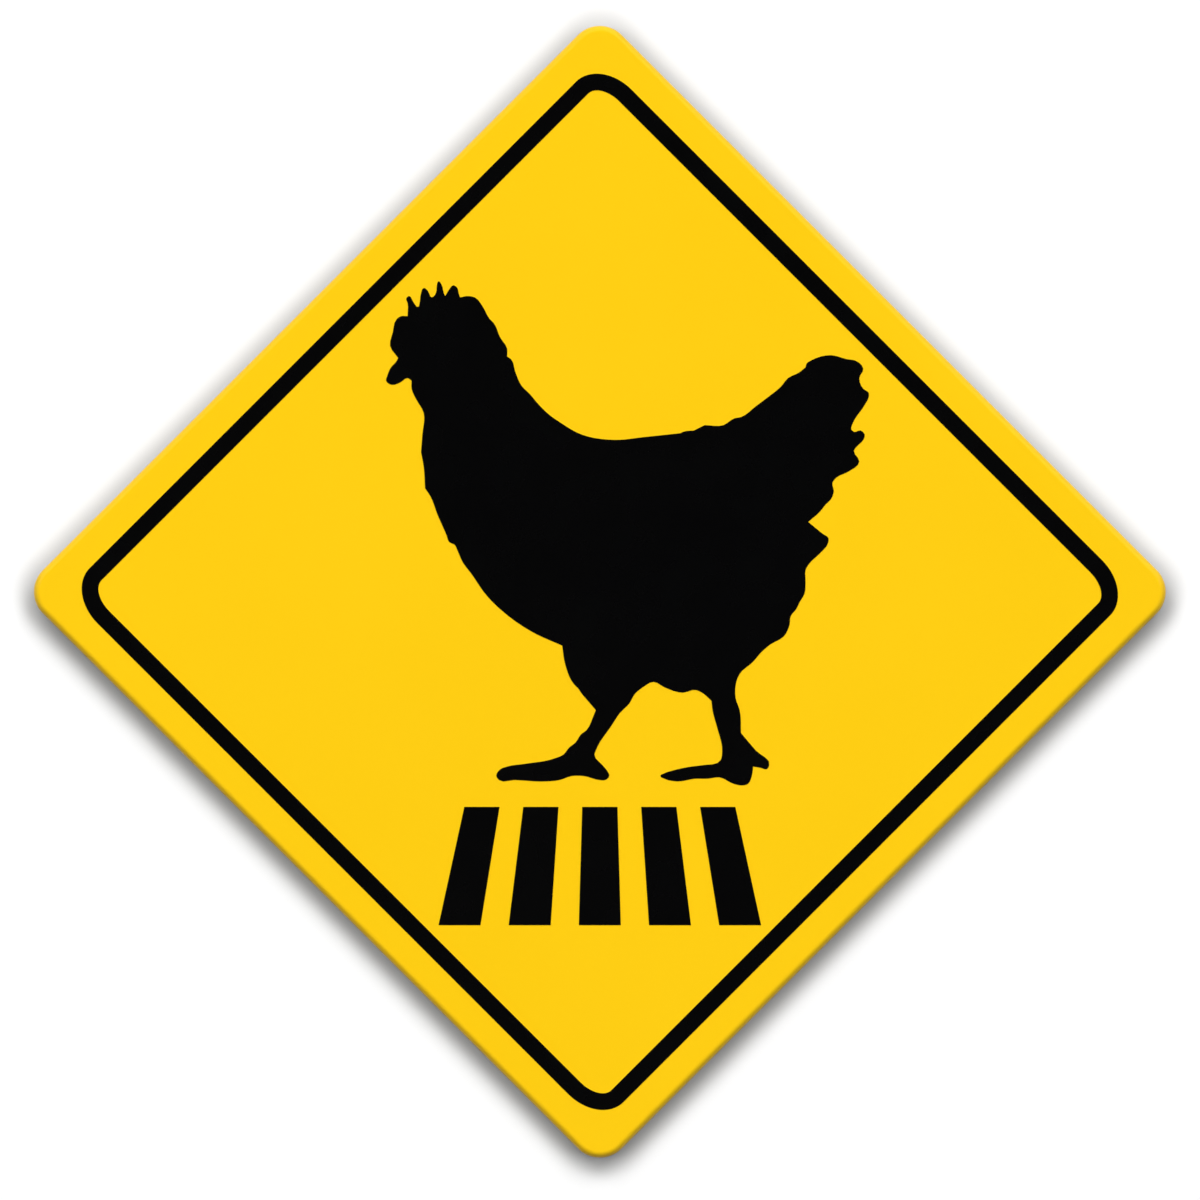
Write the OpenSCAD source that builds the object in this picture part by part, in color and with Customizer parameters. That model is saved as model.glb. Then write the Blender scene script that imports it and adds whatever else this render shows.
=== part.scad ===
// Diamond crossing sign with a walking hen.
// One square panel is pressed from thin sheet with its edge turned back all round.
// It stands on one corner, and its face carries a black legend of thin film:
// a border line, the hen, and a row of crossing bars under the hen's feet.
//
// The face looks along -Y, +X is to the reader's right and +Z is up.
// The origin is the centre of the sheet's flat back.

/* [Panel] */
// Length of one side of the square panel
side = 304.8; // [180:0.1:460]
// Radius of the panel's corners
corner_r = 11.5; // [6:0.5:30]
// Thickness of the sheet
gauge = 0.8; // [0.5:0.1:1.5]
// Outside radius of the bend between the face and the turned edge
bend_r = 2.6; // [1.8:0.1:5]
// Straight length of the turned edge behind the bend
flange_l = 1.4; // [0.4:0.1:15]

/* [Border line] */
// Distance from the panel's outer edge to the line
border_margin = 12; // [6:0.1:25]
// Width of the line
border_w = 6.3; // [3:0.1:12]
// How far a corner's curve reaches along the upper left and lower right sides
corner_reach_left = 12.4; // [8:0.1:40]
// How far a corner's curve reaches along the upper right and lower left sides
corner_reach_right = 16.6; // [8:0.1:40]

/* [Legend] */
// Thickness of the black film
film_t = 0.1; // [0.05:0.05:0.5]
// Clear gap between the legend and the border line, where they come closest
legend_gap = 4; // [1:0.1:20]
// Gap between the hen's feet and the bars
bars_gap = 8; // [2:0.5:20]
// Height of the bars
bar_h = 44; // [15:1:60]
// Width of one bar at its foot
bar_w = 15.6; // [5:0.1:25]
// Space between two bars at their feet
bar_space = 10.5; // [3:0.1:20]
// Number of bars
bar_count = 5; // [3:1:8]
// Width of a bar's head as a share of its foot, because the bars run away from the reader
bar_head = 0.84; // [0.5:0.01:1]

/* [Hidden] */

coat_yellow = [1, 0.81, 0.08];
film_black = [0.02, 0.02, 0.02];
// The square stands on one corner
diamond_turn = 45;
// Steps in a full circle, for the sheet's bends and corners
fine = 96;
// Steps round one corner of the border line, and the least reach of its inner corners
corner_steps = 16;
min_corner = 0.5;
// Longest step along the hen's outline, and the fewest steps between two points
curve_step = 2;
least_steps = 3;

// The panel's straight sides run between the centres of its corners
half = side / 2;
corner_c = half - corner_r;
// The border line lies this far from the centre, at its outer and inner edges
line_out = half - border_margin;
line_in = line_out - border_w;

// The hen's outline runs clockwise round the figure through these points, in mm from the
// sign's centre. A point marked tip is a corner, and the curve runs smoothly through the rest.
tip = 1;

beak = [
    [-77.5, 77], [-79.5, 78.5], [-79, 80.5], [-78, 83], [-75.5, 86], [-75, 87, tip],
    [-78, 91.5], [-77, 96.5], [-75.5, 101.5], [-74, 102.5], [-71.5, 102.5, tip]
];

comb = [
    [-71.5, 107.5], [-72, 109], [-71, 110], [-69.5, 108], [-67.5, 106], [-67, 107.5],
    [-66.5, 111], [-65.5, 113], [-64, 112], [-62.5, 109.5], [-61, 111],
    [-60.5, 114.5], [-60, 115.5], [-59, 114.5], [-58, 111], [-57.5, 110, tip], [-56, 112.5],
    [-54.5, 114], [-53, 113], [-52.5, 111], [-52, 109.5, tip]
];

nape = [
    [-49, 110], [-46.5, 109.5], [-43.5, 106], [-41, 101.5], [-39.5, 100], [-37, 94.5],
    [-34.5, 90.5], [-34.5, 87.5, tip], [-33, 86.5], [-31.5, 82], [-29, 76.5], [-26, 73.5],
    [-23.5, 70.5], [-19, 66], [-14, 62.5]
];

back = [
    [-8, 59], [6, 56.5], [16, 57.5], [30, 59, tip], [31, 59.5], [35, 60, tip], [36, 60.5],
    [39, 62, tip], [46, 62], [50, 64.5], [52.5, 65], [58, 69], [62, 72],
    [67.5, 76.5], [70, 79.5], [74, 81.5], [76.5, 83.5, tip]
];

tail = [
    [77, 85], [78.5, 86], [86, 88], [92, 86.5], [95, 86], [98, 83],
    [96.5, 79.5], [98, 75.5], [100, 74], [100, 72.5], [98.5, 69.5], [94, 62.5], [93.5, 60.5],
    [94.5, 59.5], [97, 60], [98.5, 58.5], [98, 56.5], [96, 54.5], [94.5, 52.5], [96.5, 48.5],
    [92, 44.5], [88, 42.5], [86.5, 40.5], [87, 37.5], [86, 34.5], [84, 32.5], [82, 30],
    [77.5, 26, tip], [83, 21.5], [85, 20], [85, 18.5], [81.5, 14], [77.5, 10],
    [76.5, 8]
];

rump = [
    [76.5, 4.5], [76, -1], [74.5, -3.5], [73, -6.5], [71, -9], [70.5, -12.5], [68.5, -16.5],
    [63.5, -19.5], [60, -22.5], [57, -26], [52, -30.5], [50.5, -39.5]
];

rear_leg = [
    [52, -44], [52.5, -52.5, tip], [58, -59], [63, -64.5], [62, -66],
    [60, -65.5], [57, -65, tip], [56.5, -68.5], [55, -71.5], [53, -72], [50, -71.5],
    [44.5, -69], [40, -69.5], [35.5, -69.5], [29, -70.5], [24, -69.5], [22.5, -68.5], [24, -67.5],
    [27, -66.5], [34, -65], [38, -64.5], [45, -62.5], [45.5, -59.5], [43.5, -50], [42, -44.5],
    [41.5, -40.5, tip]
];

thighs = [
    [38, -37.5], [35.5, -36.5], [31, -37.5], [24, -35.5], [20, -33.5], [16, -35.5], [13, -38],
    [11, -41.5], [7.5, -45]
];

front_leg = [
    [4.5, -49.5], [-1.5, -59], [-2, -60.5], [1, -64.5], [3, -67], [3.5, -68.5], [2, -70],
    [0, -70], [-6, -68.5], [-10.5, -68.5], [-15, -70], [-20, -70.5], [-32, -70],
    [-37.5, -70], [-38.5, -68.5], [-37, -66], [-34.5, -65], [-28, -64], [-17, -62],
    [-13.5, -60.5], [-11.5, -58], [-9, -56], [-7, -53], [-5, -51.5], [-2.5, -46.5],
    [-1.5, -44, tip]
];

belly = [
    [-4.5, -40.5], [-7, -37.5], [-8, -36], [-9.5, -34.5], [-13, -26.5], [-14, -20, tip],
    [-25, -15], [-34, -9], [-42, -1.5], [-48, 7]
];

breast = [
    [-51, 11], [-53, 15.5], [-54, 17.5], [-56, 18.5], [-57, 21], [-60.5, 29], [-63, 35.5],
    [-65, 38.5, tip], [-65.5, 46.5], [-66.5, 52, tip], [-66, 58.5], [-65.5, 66.5],
    [-68.5, 72], [-70, 75.5], [-70, 78.5, tip], [-71.5, 79.5], [-74, 78]
];

hen_points = concat(
    beak, comb, nape, back, tail, rump, rear_leg, thighs, front_leg, belly, breast
);

function unit(v) = v / norm(v);

function around(points, i) = points[(i + len(points)) % len(points)];

function place(points, i) = let (p = around(points, i)) [p.x, p.y];

function is_tip(points, i) = len(around(points, i)) == 3;

// Direction of the curve at a smooth point. It leans towards the nearer neighbour,
// as the tangent of a circle through the three points does.
function smooth_way(points, i) =
    let (
        before = place(points, i) - place(points, i - 1),
        after = place(points, i + 1) - place(points, i)
    )
    unit(unit(before) * norm(after) + unit(after) * norm(before));

function bezier(a, b, c, d, t) =
    pow(1 - t, 3) * a + 3 * t * pow(1 - t, 2) * b + 3 * t * t * (1 - t) * c + pow(t, 3) * d;

// Points from point i up to the next one, along one curved span
function span(points, i) =
    let (
        from = place(points, i),
        to = place(points, i + 1),
        reach = norm(to - from),
        straight = (to - from) / reach,
        leaving = is_tip(points, i) ? straight : smooth_way(points, i),
        arriving = is_tip(points, i + 1) ? straight : smooth_way(points, i + 1),
        steps = max(least_steps, ceil(reach / curve_step))
    )
    [
        for (s = [0 : steps - 1])
            bezier(
                from, from + leaving * reach / 3, to - arriving * reach / 3, to, s / steps
            )
    ];

function curve(points) = [for (i = [0 : len(points) - 1]) each span(points, i)];

hen_outline = curve(hen_points);
hen_foot = min([for (p = hen_outline) p.y]);

// The bars stand in a row under the hen and fan out towards the reader
bars_top = hen_foot - bars_gap;
bar_pitch = bar_w + bar_space;

function bar_outline(i) =
    let (
        middle = (i - (bar_count - 1) / 2) * bar_pitch,
        left = middle - bar_w / 2,
        right = middle + bar_w / 2,
        foot = bars_top - bar_h
    )
    [
        [left, foot], [right, foot],
        [right * bar_head, bars_top], [left * bar_head, bars_top]
    ];

// The hen and bars are drawn for one size of panel. This factor fits them to the field
// inside the border line, with the stated gap to its slanting sides.
legend_points = concat(hen_outline, bar_outline(0), bar_outline(bar_count - 1));
legend_reach = max([for (p = legend_points) abs(p.x) + abs(p.y)]);
legend_k = (line_in - legend_gap) * sqrt(2) / legend_reach;

// Outline of a square with rounded corners, which may reach further along one side
function soft_square(half_w, reach_x, reach_y) = [
    for (q = [0 : 3], s = [0 : corner_steps])
        let (
            a = 90 * (q + s / corner_steps),
            x_way = (q == 0 || q == 3) ? 1 : -1,
            y_way = q < 2 ? 1 : -1
        )
        [
            x_way * (half_w - reach_x) + reach_x * cos(a),
            y_way * (half_w - reach_y) + reach_y * sin(a)
        ]
];

// Stands up what is drawn flat, with the side that faced up now facing the reader
module stand_up() {
    rotate([90, 0, 0]) children();
}

// Lays film on the face
module film() {
    color(film_black)
        stand_up()
            translate([0, 0, gauge])
                linear_extrude(film_t) children();
}

// Section through the sheet, from the centre of a corner out over the bend to the edge
module edge_section() {
    square([corner_r - bend_r, gauge]);
    translate([corner_r - bend_r, gauge - bend_r])
        intersection() {
            difference() {
                circle(bend_r, $fn = fine);
                circle(bend_r - gauge, $fn = fine);
            }
            square(bend_r);
        }
    translate([corner_r - gauge, gauge - bend_r - flange_l])
        square([gauge, flange_l]);
}

module panel() {
    color(coat_yellow)
        stand_up()
            rotate([0, 0, diamond_turn]) {
                translate([-corner_c, -corner_c, 0])
                    cube([2 * corner_c, 2 * corner_c, gauge]);
                for (q = [0 : 3])
                    rotate([0, 0, 90 * q]) {
                        translate([corner_c, 0, 0])
                            rotate([90, 0, 0])
                                linear_extrude(2 * corner_c, center = true) edge_section();
                        translate([corner_c, corner_c, 0])
                            rotate_extrude(angle = 90, $fn = fine) edge_section();
                    }
            }
}

module border_line() {
    film()
        rotate([0, 0, diamond_turn])
            difference() {
                polygon(soft_square(line_out, corner_reach_left, corner_reach_right));
                polygon(soft_square(
                    line_in,
                    max(corner_reach_left - border_w, min_corner),
                    max(corner_reach_right - border_w, min_corner)
                ));
            }
}

module hen_figure() {
    film() scale(legend_k) polygon(hen_outline);
}

module crossing_bars() {
    film()
        scale(legend_k)
            for (i = [0 : bar_count - 1])
                polygon(bar_outline(i));
}

panel();
border_line();
hen_figure();
crossing_bars();
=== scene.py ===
import math

import bpy
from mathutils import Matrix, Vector


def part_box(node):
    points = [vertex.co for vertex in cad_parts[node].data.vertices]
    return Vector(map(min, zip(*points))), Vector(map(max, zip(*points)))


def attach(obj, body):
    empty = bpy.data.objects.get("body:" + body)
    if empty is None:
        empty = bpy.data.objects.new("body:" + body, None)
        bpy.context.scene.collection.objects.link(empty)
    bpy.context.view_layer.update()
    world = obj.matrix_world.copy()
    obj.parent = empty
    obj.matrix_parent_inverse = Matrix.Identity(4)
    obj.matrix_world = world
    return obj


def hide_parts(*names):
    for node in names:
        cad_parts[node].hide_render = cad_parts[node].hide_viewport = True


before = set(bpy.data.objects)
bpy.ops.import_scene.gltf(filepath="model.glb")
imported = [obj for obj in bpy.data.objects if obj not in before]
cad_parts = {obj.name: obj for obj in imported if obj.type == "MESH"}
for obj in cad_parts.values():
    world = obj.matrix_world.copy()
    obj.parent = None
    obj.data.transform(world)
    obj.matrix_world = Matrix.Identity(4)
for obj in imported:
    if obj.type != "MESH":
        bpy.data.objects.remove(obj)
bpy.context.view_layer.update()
scene = bpy.context.scene
print("frame loaded:", ", ".join(sorted(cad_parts)))


# Small helpers for building node trees

def addNode(tree, kind, **settings):
    node = tree.nodes.new(kind)
    for name, value in settings.items():
        setattr(node, name, value)
    return node


def feed(tree, socket, value):
    # a value is either another node's output or a plain number, vector, colour or name
    if isinstance(value, bpy.types.NodeSocket):
        tree.links.new(value, socket)
    else:
        socket.default_value = value


def calc(tree, operation, *terms):
    node = addNode(tree, "ShaderNodeMath", operation=operation)
    for socket, term in zip(node.inputs, terms):
        feed(tree, socket, term)
    return node.outputs[0]


def clamped(tree, value):
    node = addNode(tree, "ShaderNodeClamp")
    feed(tree, node.inputs["Value"], value)
    return node.outputs[0]


def remap(tree, value, span, result=(0, 1), smooth=False):
    node = addNode(tree, "ShaderNodeMapRange")
    if smooth:
        node.interpolation_type = "SMOOTHSTEP"
    for socket, term in zip(node.inputs, (value, *span, *result)):
        feed(tree, socket, term)
    return node.outputs[0]


def blendColours(tree, share, first, second):
    node = addNode(tree, "ShaderNodeMix", data_type="RGBA")
    terms = {"Factor_Float": share, "A_Color": first, "B_Color": second}
    for socket in node.inputs:
        if socket.identifier in terms:
            feed(tree, socket, terms[socket.identifier])
    return next(socket for socket in node.outputs if socket.identifier == "Result_Color")


# Materials. Patterns read Object coordinates in metres, so a scale of 500 is a 2 mm grain, and
# the coat's painted shade over the turned edge reads the sheet's own bendShare. A span is the
# part of a noise's range over which the colour or the roughness turns.

coatLook = {
    "colour": (0.995, 0.612, 0.0062, 1),
    "colourDeep": (0.985, 0.602, 0.0057, 1),  # where the coat is a touch thicker
    "colourBendShade": (0.842, 0.518, 0.0049, 1),  # painted shade: darker over the turned edge, standing in for how that edge is shaded
    "bendShadeTurn": 0.4,  # share of the bend by which the painted shade has reached that colour
    "mottle": {"scale": 9, "detail": 2},
    "mottleSpan": (0.35, 0.65),
    "gloss": {"scale": 27, "detail": 4},
    "glossSpan": (0.3, 0.7),
    "roughness": 0.38,
    "roughnessSpread": 0.03,
    "peel": {"scale": 420, "detail": 1.5, "roughness": 0.4},  # orange peel of a sprayed coat
    "peelHeight": 0.000012,
    "specular": 0.38,
}

filmLook = {
    "colour": (0.001, 0.001, 0.0011, 1),
    "colourWorn": (0.0016, 0.0016, 0.0017, 1),
    "mottle": {"scale": 14, "detail": 3},
    "gloss": {"scale": 56, "detail": 4},
    "glossSpan": (0.3, 0.7),
    "roughness": 0.27,
    "roughnessSpread": 0.02,
    "grain": {"scale": 900, "detail": 2},  # the film's own fine grain
    "grainHeight": 0.000005,
    "specular": 0.32,
}

aluminiumLook = {
    "colour": (0.66, 0.665, 0.675, 1),
    "colourDull": (0.50, 0.505, 0.515, 1),
    "glossSpan": (0.35, 0.65),
    "roughness": 0.34,
    "roughnessSpread": 0.10,
    "rollTurn": math.radians(45),  # the rolling lines run along one pair of sides
    "rollLength": 60,  # how many times longer than wide the lines are
    "lines": {"scale": 900, "detail": 3, "roughness": 0.6},
    "lineShare": 0.6,  # of the tone, the rest being the bands
    "lineHeight": 0.000006,
    "bands": {"scale": 60, "detail": 2},  # broader, fainter bands from the mill
    "toneSpan": (0.32, 0.68),
    "smudges": {"scale": 16, "detail": 3},
}


def startMaterial(name):
    material = bpy.data.materials.new(name)
    material.use_nodes = True
    tree = material.node_tree
    return material, tree, tree.nodes["Principled BSDF"]


def noise(tree, place, scale, detail, roughness=0.5):
    node = addNode(tree, "ShaderNodeTexNoise")
    feed(tree, node.inputs["Vector"], place)
    node.inputs["Scale"].default_value = scale
    node.inputs["Detail"].default_value = detail
    node.inputs["Roughness"].default_value = roughness
    return node.outputs["Fac"]


def bumpFrom(tree, shader, height, distance):
    node = addNode(tree, "ShaderNodeBump")
    node.inputs["Strength"].default_value = 1
    node.inputs["Distance"].default_value = distance
    feed(tree, node.inputs["Height"], height)
    tree.links.new(node.outputs["Normal"], shader.inputs["Normal"])


def roughnessFrom(tree, shader, look, pattern):
    middle, spread = look["roughness"], look["roughnessSpread"]
    rough = remap(tree, pattern, look["glossSpan"], (middle - spread, middle + spread))
    tree.links.new(rough, shader.inputs["Roughness"])


def makeCoat():
    look = coatLook
    material, tree, shader = startMaterial("yellow_coat")
    place = addNode(tree, "ShaderNodeTexCoord").outputs["Object"]
    mottle = noise(tree, place, **look["mottle"])
    share = remap(tree, mottle, look["mottleSpan"], smooth=True)
    colour = blendColours(tree, share, look["colour"], look["colourDeep"])
    roundBend = addNode(tree, "ShaderNodeAttribute", attribute_name="bendShare").outputs["Fac"]
    # painted shade: the coat's colour is darkened over the turned edge
    bendShade = remap(tree, roundBend, (0, look["bendShadeTurn"]))
    colour = blendColours(tree, bendShade, colour, look["colourBendShade"])
    tree.links.new(colour, shader.inputs["Base Color"])
    roughnessFrom(tree, shader, look, noise(tree, place, **look["gloss"]))
    shader.inputs["Specular IOR Level"].default_value = look["specular"]
    bumpFrom(tree, shader, noise(tree, place, **look["peel"]), look["peelHeight"])
    return material


def makeFilm():
    look = filmLook
    material, tree, shader = startMaterial("black_film")
    place = addNode(tree, "ShaderNodeTexCoord").outputs["Object"]
    mottle = noise(tree, place, **look["mottle"])
    colour = blendColours(tree, mottle, look["colour"], look["colourWorn"])
    tree.links.new(colour, shader.inputs["Base Color"])
    roughnessFrom(tree, shader, look, noise(tree, place, **look["gloss"]))
    shader.inputs["Specular IOR Level"].default_value = look["specular"]
    bumpFrom(tree, shader, noise(tree, place, **look["grain"]), look["grainHeight"])
    return material


def makeAluminium():
    look = aluminiumLook
    material, tree, shader = startMaterial("mill_aluminium")
    place = addNode(tree, "ShaderNodeTexCoord").outputs["Object"]
    turned = addNode(tree, "ShaderNodeMapping", vector_type="TEXTURE")
    tree.links.new(place, turned.inputs["Vector"])
    turned.inputs["Rotation"].default_value = (0, look["rollTurn"], 0)
    turned.inputs["Scale"].default_value = (look["rollLength"], 1, 1)
    lines = noise(tree, turned.outputs["Vector"], **look["lines"])
    bands = noise(tree, turned.outputs["Vector"], **look["bands"])
    smudges = noise(tree, place, **look["smudges"])
    lineTone = calc(tree, "MULTIPLY", lines, look["lineShare"])
    bandTone = calc(tree, "MULTIPLY", bands, 1 - look["lineShare"])
    tone = calc(tree, "ADD", lineTone, bandTone)
    share = remap(tree, tone, look["toneSpan"])
    colour = blendColours(tree, share, look["colour"], look["colourDull"])
    tree.links.new(colour, shader.inputs["Base Color"])
    average = calc(tree, "DIVIDE", calc(tree, "ADD", tone, smudges), 2)
    roughnessFrom(tree, shader, look, average)
    shader.inputs["Metallic"].default_value = 1
    bumpFrom(tree, shader, lines, look["lineHeight"])
    return material


coatMaterial = makeCoat()
filmMaterial = makeFilm()
aluminiumMaterial = makeAluminium()
print("materials made")


# The panel: one pressed sheet. Its edge profile runs round the rounded square as one grid of
# rows and columns, from the middle of the face out over the bend and back to the middle behind.

panelSizes = {
    "cornerRadius": 0.0115,
    "gauge": 0.0008,
    "bendRadius": 0.0026,
    "edgeRound": 0.00012,  # the cut edge is lightly dressed
    "holdWidth": 0.0005,  # narrow bands that keep the flats shaded flat
    "mergeDistance": 0.000005,
    "webRows": 5,
    "bendSteps": 12,
    "edgeSteps": 3,
    "cornerSteps": 24,
}

sheetInputs = {
    "NodeSocketFloat": (
        "Half Side", "Corner Radius", "Gauge", "Bend Radius", "Flange Length",
        "Edge Round", "Hold Width", "Merge Distance",
    ),
    "NodeSocketInt": ("Web Rows", "Bend Steps", "Edge Steps", "Corner Steps"),
    "NodeSocketMaterial": ("Coat", "Bare Metal"),
}


def panelTree():
    tree = bpy.data.node_groups.new("pressedSheet", "GeometryNodeTree")
    face = tree.interface
    for kind, names in sheetInputs.items():
        for name in names:
            face.new_socket(name=name, in_out="INPUT", socket_type=kind)
    face.new_socket(name="Geometry", in_out="OUTPUT", socket_type="NodeSocketGeometry")
    given = addNode(tree, "NodeGroupInput").outputs
    result = addNode(tree, "NodeGroupOutput")
    quarter = math.pi / 2

    def do(operation, *terms):
        return calc(tree, operation, *terms)

    def plus(first, second):
        return do("ADD", first, second)

    def minus(first, second):
        return do("SUBTRACT", first, second)

    def times(first, second):
        return do("MULTIPLY", first, second)

    def over(first, second):
        return do("DIVIDE", first, second)

    def pick(test, ifSo, otherwise):
        # test is 1 or 0
        return plus(times(test, ifSo), times(minus(1, test), otherwise))

    def through(kind, geometry, **values):
        # passes the geometry on through a node of this kind
        node = addNode(tree, kind)
        tree.links.new(geometry, node.inputs["Geometry"])
        for name, value in values.items():
            feed(tree, node.inputs[name], value)
        return node.outputs["Geometry"]

    # rows of one skin, and of both. The two rows added are the ends of the bend and of the edge.
    bendRows = plus(given["Web Rows"], given["Bend Steps"])
    skinRows = plus(bendRows, plus(given["Edge Steps"], 2))
    allRows = times(skinRows, 2)
    cornerColumns = plus(given["Corner Steps"], 3)
    grid = addNode(tree, "GeometryNodeMeshGrid")
    feed(tree, grid.inputs["Vertices X"], plus(times(cornerColumns, 4), 1))
    feed(tree, grid.inputs["Vertices Y"], allRows)

    # rows, columns and steps are whole numbers, and half of one keeps their tests sure
    half = 0.5
    index = addNode(tree, "GeometryNodeInputIndex").outputs[0]
    column = do("FLOOR", over(plus(index, half), allRows))
    row = minus(index, times(column, allRows))
    outer = do("LESS_THAN", row, minus(skinRows, half))
    step = do("MINIMUM", row, minus(minus(allRows, 1), row))

    # round the outline: which corner, how far round it, and the short bands at its ends
    turnNumber = do("FLOOR", over(plus(column, half), cornerColumns))
    along = minus(column, times(turnNumber, cornerColumns))
    arcShare = clamped(tree, over(minus(along, 1), given["Corner Steps"]))
    angle = plus(times(plus(turnNumber, arcShare), quarter), quarter / 2)
    before = do("LESS_THAN", along, half)
    after = do("GREATER_THAN", along, plus(given["Corner Steps"], 1 + half))
    slide = times(minus(after, before), given["Hold Width"])
    middle = times(plus(turnNumber, 1), quarter)
    middleReach = times(minus(given["Half Side"], given["Corner Radius"]), math.sqrt(2))

    # across the edge: flat, bend, straight flange and dressed cut edge
    onFlat = do("LESS_THAN", step, minus(given["Web Rows"], half))
    webShare = clamped(tree, over(step, minus(given["Web Rows"], 1)))
    pastFlat = minus(step, given["Web Rows"])
    bendShare = clamped(tree, over(pastFlat, given["Bend Steps"]))
    bendAngle = times(bendShare, quarter)
    pastBend = minus(minus(pastFlat, given["Bend Steps"]), 1)
    onEdge = do("GREATER_THAN", pastBend, -half)
    edgeAngle = times(clamped(tree, over(pastBend, given["Edge Steps"])), quarter)
    bendHere = minus(given["Bend Radius"], pick(outer, 0, given["Gauge"]))
    bendOut = minus(times(bendHere, do("SINE", bendAngle)), given["Bend Radius"])
    flatOut = times(plus(given["Bend Radius"], given["Hold Width"]), -1)
    edgeIn = times(minus(1, do("COSINE", edgeAngle)), given["Edge Round"])
    edgeOut = times(edgeIn, pick(outer, -1, 1))
    out = plus(pick(onFlat, flatOut, bendOut), times(edgeOut, onEdge))
    bendMiddle = minus(given["Gauge"], given["Bend Radius"])
    rise = plus(bendMiddle, times(bendHere, do("COSINE", bendAngle)))
    edgeRise = times(minus(1, do("SINE", edgeAngle)), given["Edge Round"])
    height = minus(rise, times(minus(given["Flange Length"], edgeRise), onEdge))

    # the place of each point, with the face towards -Y and the square stood on its corner
    reach = plus(given["Corner Radius"], out)
    cornerX = plus(times(middleReach, do("COSINE", middle)), times(reach, do("COSINE", angle)))
    cornerZ = plus(times(middleReach, do("SINE", middle)), times(reach, do("SINE", angle)))
    placeX = minus(cornerX, times(slide, do("SINE", angle)))
    placeZ = plus(cornerZ, times(slide, do("COSINE", angle)))
    place = addNode(tree, "ShaderNodeCombineXYZ")
    feed(tree, place.inputs["X"], times(placeX, webShare))
    feed(tree, place.inputs["Y"], times(height, -1))
    feed(tree, place.inputs["Z"], times(placeZ, webShare))

    sheet = grid.outputs["Mesh"]
    for name, value in (("profileRow", row), ("bendShare", bendShare)):
        sheet = through("GeometryNodeStoreNamedAttribute", sheet, Name=name, Value=value)
    sheet = through("GeometryNodeSetPosition", sheet, Position=place.outputs["Vector"])
    sheet = through("GeometryNodeMergeByDistance", sheet, Distance=given["Merge Distance"])
    sheet = through("GeometryNodeSetShadeSmooth", sheet)
    sheet = through("GeometryNodeRealizeInstances", sheet)

    # a face's row is midway between its points' rows, and the cut edge joins the two skins
    rowHere = addNode(tree, "GeometryNodeInputNamedAttribute", data_type="FLOAT")
    rowHere.inputs["Name"].default_value = "profileRow"
    isBare = do("GREATER_THAN", rowHere.outputs["Attribute"], minus(skinRows, 1))
    bare = {"Selection": isBare, "Material": given["Bare Metal"]}
    sheet = through("GeometryNodeSetMaterial", sheet, Material=given["Coat"])
    sheet = through("GeometryNodeSetMaterial", sheet, **bare)
    tree.links.new(sheet, result.inputs["Geometry"])
    return tree


def growMesh(name, tree, values):
    # runs a tree on an empty mesh and keeps what it makes as a plain mesh
    seed = bpy.data.objects.new(name + "Seed", bpy.data.meshes.new(name + "Seed"))
    scene.collection.objects.link(seed)
    modifier = seed.modifiers.new(name, "NODES")
    modifier.node_group = tree
    for socket in tree.interface.items_tree:
        if socket.in_out == "INPUT":
            modifier[socket.identifier] = values[socket.name]
    evaluated = seed.evaluated_get(bpy.context.evaluated_depsgraph_get())
    mesh = bpy.data.meshes.new_from_object(evaluated)
    mesh.name = name
    seed.modifiers.remove(modifier)
    bpy.data.objects.remove(seed)
    piece = bpy.data.objects.new(name, mesh)
    scene.collection.objects.link(piece)
    return piece


def makePanel():
    low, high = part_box("panel")
    sizes = panelSizes
    corner = sizes["cornerRadius"]
    piece = growMesh("pressed_panel", panelTree(), {
        "Half Side": (high.x - corner) / math.sqrt(2) + corner,
        "Corner Radius": corner,
        "Gauge": sizes["gauge"],
        "Bend Radius": sizes["bendRadius"],
        "Flange Length": high.y - low.y - sizes["bendRadius"],
        "Edge Round": sizes["edgeRound"],
        "Hold Width": sizes["holdWidth"],
        "Merge Distance": sizes["mergeDistance"],
        "Web Rows": sizes["webRows"],
        "Bend Steps": sizes["bendSteps"],
        "Edge Steps": sizes["edgeSteps"],
        "Corner Steps": sizes["cornerSteps"],
        "Coat": coatMaterial,
        "Bare Metal": aluminiumMaterial,
    })
    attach(piece, "root")
    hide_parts("panel")
    return piece


panel = makePanel()
print("panel made:", len(panel.data.polygons), "faces")


# The legend keeps the frame's own shapes and takes the film

def dressLegend():
    for name in ("border_line", "hen_figure", "crossing_bars"):
        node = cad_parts[name]
        node.data.materials.clear()
        node.data.materials.append(filmMaterial)


dressLegend()
print("legend dressed")


# Stage: a pale wall that the sign hangs on, a few millimetres behind its rim, and a pale floor
# well below. The wall is open behind the sign, and clear from behind, so that the sign's back is
# lit too. Close round the sign the wall carries a painted shadow. A dark collar keeps that light
# out of the gap, and a glowing grey patch with painted light and shade, as the wall in the gap
# would be lit and shaded, is what shows through it.

wallSettings = {
    "reach": 0.8,
    "gap": 0.004,
    "white": (1, 1, 1, 1),  # as the picture, gloss and glass show it
    "bounce": (0.25, 0.25, 0.25, 1),  # as it lights the sign's edge
    "paintedShadowGrey": (0.76, 0.76, 0.76, 1),  # painted shadow: a grey close round the sign, where less light reaches it
    "paintedShadowWidth": 0.0105,
    "collarDark": (0.01, 0.01, 0.01, 1),
}

# painted light and shade for the glowing gap patch
patchSettings = {
    "upper": (0.62, 0.62, 0.62, 1),  # painted light: the gap along the upper sides, which the lamps reach
    # painted shade: the gap along the lower sides
    "lower": (0.25, 0.25, 0.25, 1),
    "turn": 0.012,  # half the height over which one turns into the other
    "depth": 0.010,  # how far in under the sign the painted light goes
    "least": 0.35,  # the share of it that is left further in, as painted shade
}

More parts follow.
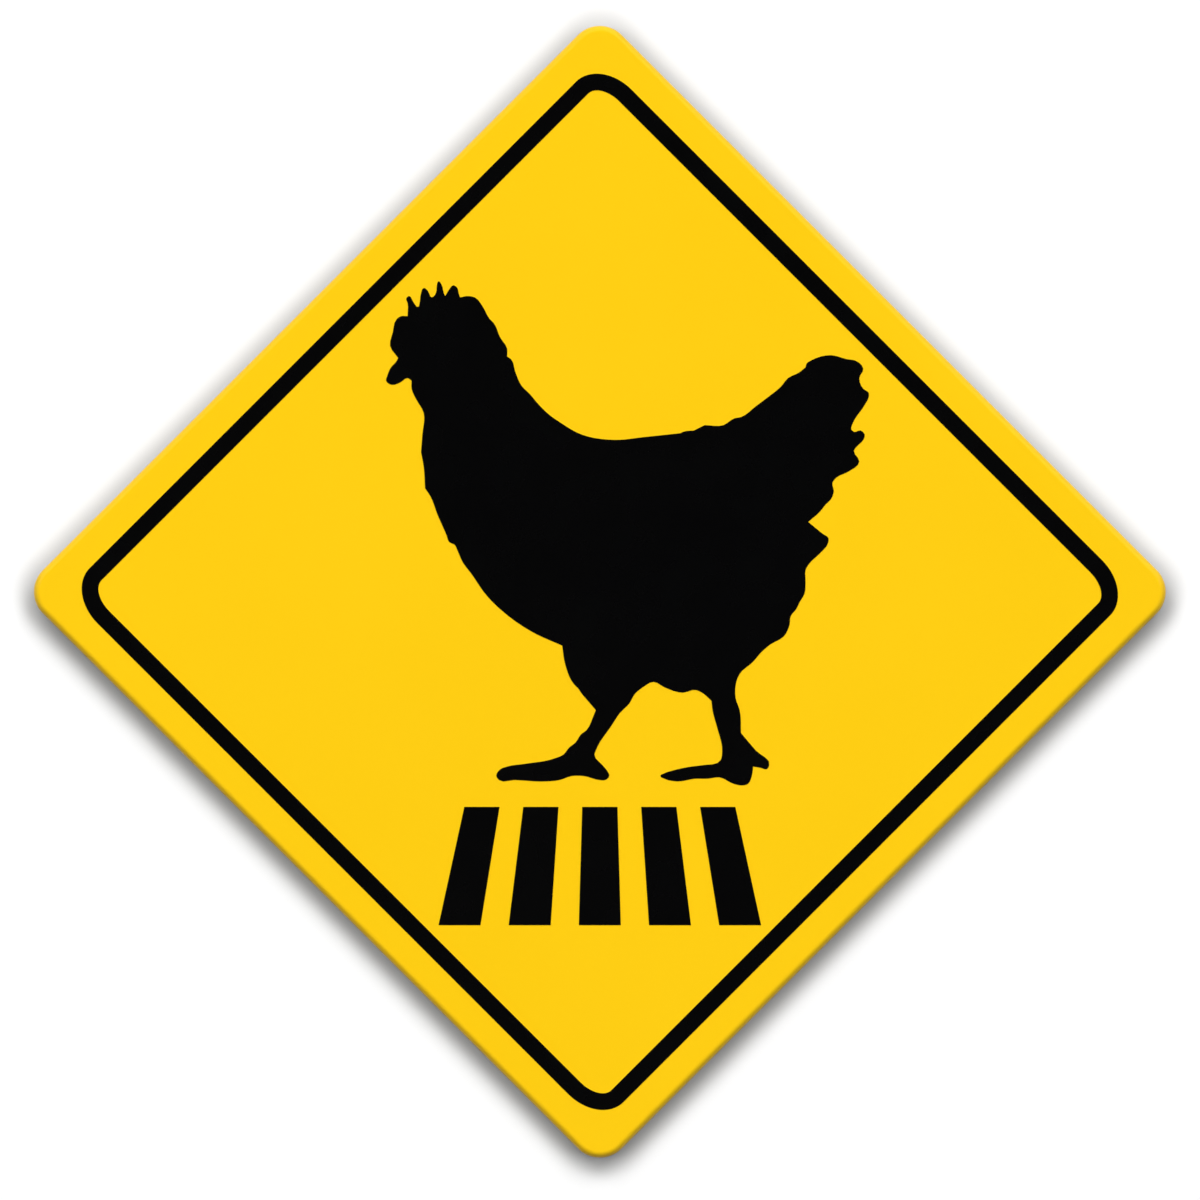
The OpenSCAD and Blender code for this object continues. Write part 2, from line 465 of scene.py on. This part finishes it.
floorSettings = {
    "drop": 1.5,
    "reach": 14.0,
    "fadeFrom": 6.3,  # the floor melts into the backdrop from here to its reach
    "lit": (0.05, 0.05, 0.05, 1),  # as it lights the sign
    "pale": (0.74, 0.74, 0.74, 1),  # as the picture, gloss and glass show it
    "behind": (-0.1, 0.3),  # along Y: only the floor behind the sign shows in its gloss
}


def backgroundRays(tree):
    # two values, each 1 or 0: a ray from the camera or through glass, and a ray from gloss
    path = addNode(tree, "ShaderNodeLightPath").outputs
    seen = calc(tree, "MAXIMUM", path["Is Camera Ray"], path["Is Transmission Ray"])
    return seen, path["Is Glossy Ray"]


def placeParts(tree, coordinate="Object"):
    place = addNode(tree, "ShaderNodeTexCoord").outputs[coordinate]
    parts = addNode(tree, "ShaderNodeSeparateXYZ")
    tree.links.new(place, parts.inputs[0])
    return place, parts.outputs


def startStageMaterial(name, surface):
    # a surface shader of the kind named and, over it, as much clearness as the caller links in
    material = bpy.data.materials.new(name)
    material.use_nodes = True
    tree = material.node_tree
    tree.nodes.clear()
    paint = addNode(tree, surface)
    clear = addNode(tree, "ShaderNodeBsdfTransparent")
    mix = addNode(tree, "ShaderNodeMixShader")
    tree.links.new(paint.outputs[0], mix.inputs[1])
    tree.links.new(clear.outputs[0], mix.inputs[2])
    output = addNode(tree, "ShaderNodeOutputMaterial")
    tree.links.new(mix.outputs[0], output.inputs["Surface"])
    return material, tree, paint, mix.inputs[0]


def oneSidedPaint(name, surface="ShaderNodeBsdfDiffuse"):
    material, tree, paint, clearness = startStageMaterial(name, surface)
    tree.links.new(addNode(tree, "ShaderNodeNewGeometry").outputs["Backfacing"], clearness)
    return material, tree, paint


def outlineSizes():
    # half the square's side up to the corners' rounding, and their radius
    corner = panelSizes["cornerRadius"]
    return (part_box("panel")[1].x - corner) / math.sqrt(2), corner


def outlineDistance(tree, parts):
    # how far a point of the wall lies outside the sign's rounded outline, less than 0 inside it
    inner, corner = outlineSizes()
    past = []
    for operation in ("ADD", "SUBTRACT"):
        across = calc(tree, "ABSOLUTE", calc(tree, operation, parts["X"], parts["Z"]))
        past.append(calc(tree, "SUBTRACT", calc(tree, "MULTIPLY", across, math.sqrt(0.5)), inner))
    squares = [calc(tree, "POWER", calc(tree, "MAXIMUM", side, 0), 2) for side in past]
    beyond = calc(tree, "SQRT", calc(tree, "ADD", *squares))
    within = calc(tree, "MINIMUM", calc(tree, "MAXIMUM", *past), 0)
    return calc(tree, "SUBTRACT", calc(tree, "ADD", beyond, within), corner)


def wallPaint():
    material, tree, paint = oneSidedPaint("wallPaint")
    outside = outlineDistance(tree, placeParts(tree)[1])
    # painted shadow: the wall is greyed close round the sign's outline, fading to white over that
    # width
    share = remap(tree, outside, (0, wallSettings["paintedShadowWidth"]), smooth=True)
    shown = blendColours(tree, share, wallSettings["paintedShadowGrey"], wallSettings["white"])
    pictured = calc(tree, "MAXIMUM", *backgroundRays(tree))
    colour = blendColours(tree, pictured, wallSettings["bounce"], shown)
    tree.links.new(colour, paint.inputs["Color"])
    return material


def collarPaint():
    material, tree, paint = oneSidedPaint("collarPaint")
    paint.inputs["Color"].default_value = wallSettings["collarDark"]
    return material


def paintedGapShade():
    # a glowing patch with painted light and shade: lighter along the upper sides, darker along
    # the lower ones and further in under the sign; seen by the camera only, so that it lights
    # nothing
    material, tree, paint = oneSidedPaint("paintedGapShade", "ShaderNodeEmission")
    parts = placeParts(tree)[1]
    turn = patchSettings["turn"]
    upper = remap(tree, parts["Z"], (-turn, turn), smooth=True)
    colour = blendColours(tree, upper, patchSettings["lower"], patchSettings["upper"])
    tree.links.new(colour, paint.inputs["Color"])
    outside = outlineDistance(tree, parts)
    light = remap(tree, outside, (-patchSettings["depth"], 0), (patchSettings["least"], 1))
    seen = backgroundRays(tree)[0]
    tree.links.new(calc(tree, "MULTIPLY", seen, light), paint.inputs["Strength"])
    return material


def floorPaint():
    material, tree, paint, clearness = startStageMaterial("floorPaint", "ShaderNodeBsdfDiffuse")
    place, parts = placeParts(tree)
    seen, glossy = backgroundRays(tree)
    behind = remap(tree, parts["Y"], floorSettings["behind"], smooth=True)
    pictured = calc(tree, "MAXIMUM", seen, calc(tree, "MULTIPLY", glossy, behind))
    colour = blendColours(tree, pictured, floorSettings["lit"], floorSettings["pale"])
    tree.links.new(colour, paint.inputs["Color"])
    length = addNode(tree, "ShaderNodeVectorMath", operation="LENGTH")
    tree.links.new(place, length.inputs[0])
    fadeSpan = (floorSettings["fadeFrom"], floorSettings["reach"])
    tree.links.new(remap(tree, length.outputs["Value"], fadeSpan, smooth=True), clearness)
    return material


def stageMesh(name, points, faces, material):
    mesh = bpy.data.meshes.new(name)
    mesh.from_pydata(points, [], faces)
    mesh.materials.append(material)
    thing = bpy.data.objects.new(name, mesh)
    scene.collection.objects.link(thing)
    return thing


def signOutline():
    inner, corner = outlineSizes()
    middle = inner * math.sqrt(2)
    steps = panelSizes["cornerSteps"]
    outline = []
    for turn in range(4):
        heart = math.radians(90 + 90 * turn)
        for step in range(steps + 1):
            at = math.radians(45 + 90 * (turn + step / steps))
            outline.append((
                middle * math.cos(heart) + corner * math.cos(at),
                middle * math.sin(heart) + corner * math.sin(at),
            ))
    return outline


def makeWall():
    hole = signOutline()
    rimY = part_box("panel")[1].y
    wallY = rimY + wallSettings["gap"]
    rim = [(x, rimY, z) for x, z in hole]
    foot = [(x, wallY, z) for x, z in hole]
    far = []
    for x, z in hole:
        stretch = wallSettings["reach"] / math.hypot(x, z)
        far.append((x * stretch, wallY, z * stretch))
    count = len(hole)
    band = [(i, count + i, count + (i + 1) % count, (i + 1) % count) for i in range(count)]
    stageMesh("backWall", foot + far, band, wallPaint())
    collar = stageMesh("gapCollar", rim + foot, band, collarPaint())
    collar.visible_camera = False
    collar.visible_glossy = False
    patch = stageMesh("gapPatch", foot, [tuple(range(count))], paintedGapShade())
    patch.visible_diffuse = False
    patch.visible_glossy = False
    patch.visible_shadow = False


def makeFloor():
    reach, level = floorSettings["reach"], -floorSettings["drop"]
    corners = ((-reach, -reach), (reach, -reach), (reach, reach), (-reach, reach))
    stageMesh("paleFloor", [(x, y, level) for x, y in corners], [(0, 1, 2, 3)], floorPaint())


makeWall()
makeFloor()
print("stage set")


# Light: a soft half ring of lamps from one side over the top to the other, a lamp behind for the
# bare back, and a plain white surround that is dark straight in front, so that the face shows no
# glare. Angles are in degrees.

lampSettings = {
    # turn from straight up, to both sides: angle off the face's direction and strength
    "ring": {0: (55, 0.69), 30: (55, 1.15), 60: (46, 0.46), 90: (46, 0.66)},
    "ringSpread": 28,
    "back": {"turn": 25, "offFace": 130, "spread": 30, "strength": 2.2},
}

surroundSettings = {
    "front": 0.04,  # strength as it lights the sign
    "back": 0.55,
    "frontToBack": (-0.1, 0.3),  # along Y
    "darkInner": 28,  # off the face's direction
    "darkOuter": 50,
}


def makeLamp(name, turn, offFace, spread, strength):
    around, off = math.radians(turn), math.radians(offFace)
    direction = Vector((
        math.sin(off) * math.sin(around),
        -math.cos(off),
        math.sin(off) * math.cos(around),
    ))
    data = bpy.data.lights.new(name, "SUN")
    data.angle = math.radians(spread)
    data.energy = strength
    lamp = bpy.data.objects.new(name, data)
    lamp.rotation_mode = "QUATERNION"
    lamp.rotation_quaternion = direction.to_track_quat("Z", "Y")
    scene.collection.objects.link(lamp)
    return lamp


def makeLamps():
    for side, (offFace, strength) in lampSettings["ring"].items():
        for turn in sorted({side, -side}):
            lamp = makeLamp("ringLamp", turn, offFace, lampSettings["ringSpread"], strength)
            lamp.visible_glossy = False  # the white surround gives the sheen
    makeLamp("backLamp", **lampSettings["back"])


def makeWorld():
    world = bpy.data.worlds.new("paleStudio")
    scene.world = world
    world.use_nodes = True
    tree = world.node_tree
    tree.nodes.clear()
    parts = placeParts(tree, "Generated")[1]
    darkAngles = (surroundSettings["darkOuter"], surroundSettings["darkInner"])
    darkSpan = [-math.cos(math.radians(angle)) for angle in darkAngles]
    lit = remap(tree, parts["Y"], darkSpan, (1, 0), smooth=True)
    strengths = (surroundSettings["front"], surroundSettings["back"])
    level = remap(tree, parts["Y"], surroundSettings["frontToBack"], strengths, smooth=True)
    dome = addNode(tree, "ShaderNodeBackground")
    tree.links.new(calc(tree, "MULTIPLY", level, lit), dome.inputs["Strength"])
    plain = addNode(tree, "ShaderNodeBackground")
    plain.inputs["Color"].default_value = (1, 1, 1, 1)
    seen, glossy = backgroundRays(tree)
    pictured = calc(tree, "MAXIMUM", seen, calc(tree, "MULTIPLY", glossy, lit))
    mix = addNode(tree, "ShaderNodeMixShader")
    tree.links.new(pictured, mix.inputs[0])
    tree.links.new(dome.outputs[0], mix.inputs[1])
    tree.links.new(plain.outputs[0], mix.inputs[2])
    output = addNode(tree, "ShaderNodeOutputWorld")
    tree.links.new(mix.outputs[0], output.inputs["Surface"])


makeLamps()
makeWorld()
print("lights placed")


# Camera: straight on to the face through a long lens

cameraSettings = {
    "lens": 180,
    "frameWidth": 0.4463,  # real width that the picture shows at the face
    "aimX": 0.00006,
    "aimZ": -0.00306,
}


def makeCamera():
    data = bpy.data.cameras.new("camera")
    data.lens = cameraSettings["lens"]
    camera = bpy.data.objects.new("camera", data)
    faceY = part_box("panel")[0].y
    away = cameraSettings["frameWidth"] * data.lens / data.sensor_width
    camera.location = (cameraSettings["aimX"], faceY - away, cameraSettings["aimZ"])
    camera.rotation_euler = (math.radians(90), 0, 0)
    scene.collection.objects.link(camera)
    scene.camera = camera


makeCamera()
scene.view_settings.view_transform = "Standard"
print("camera placed")
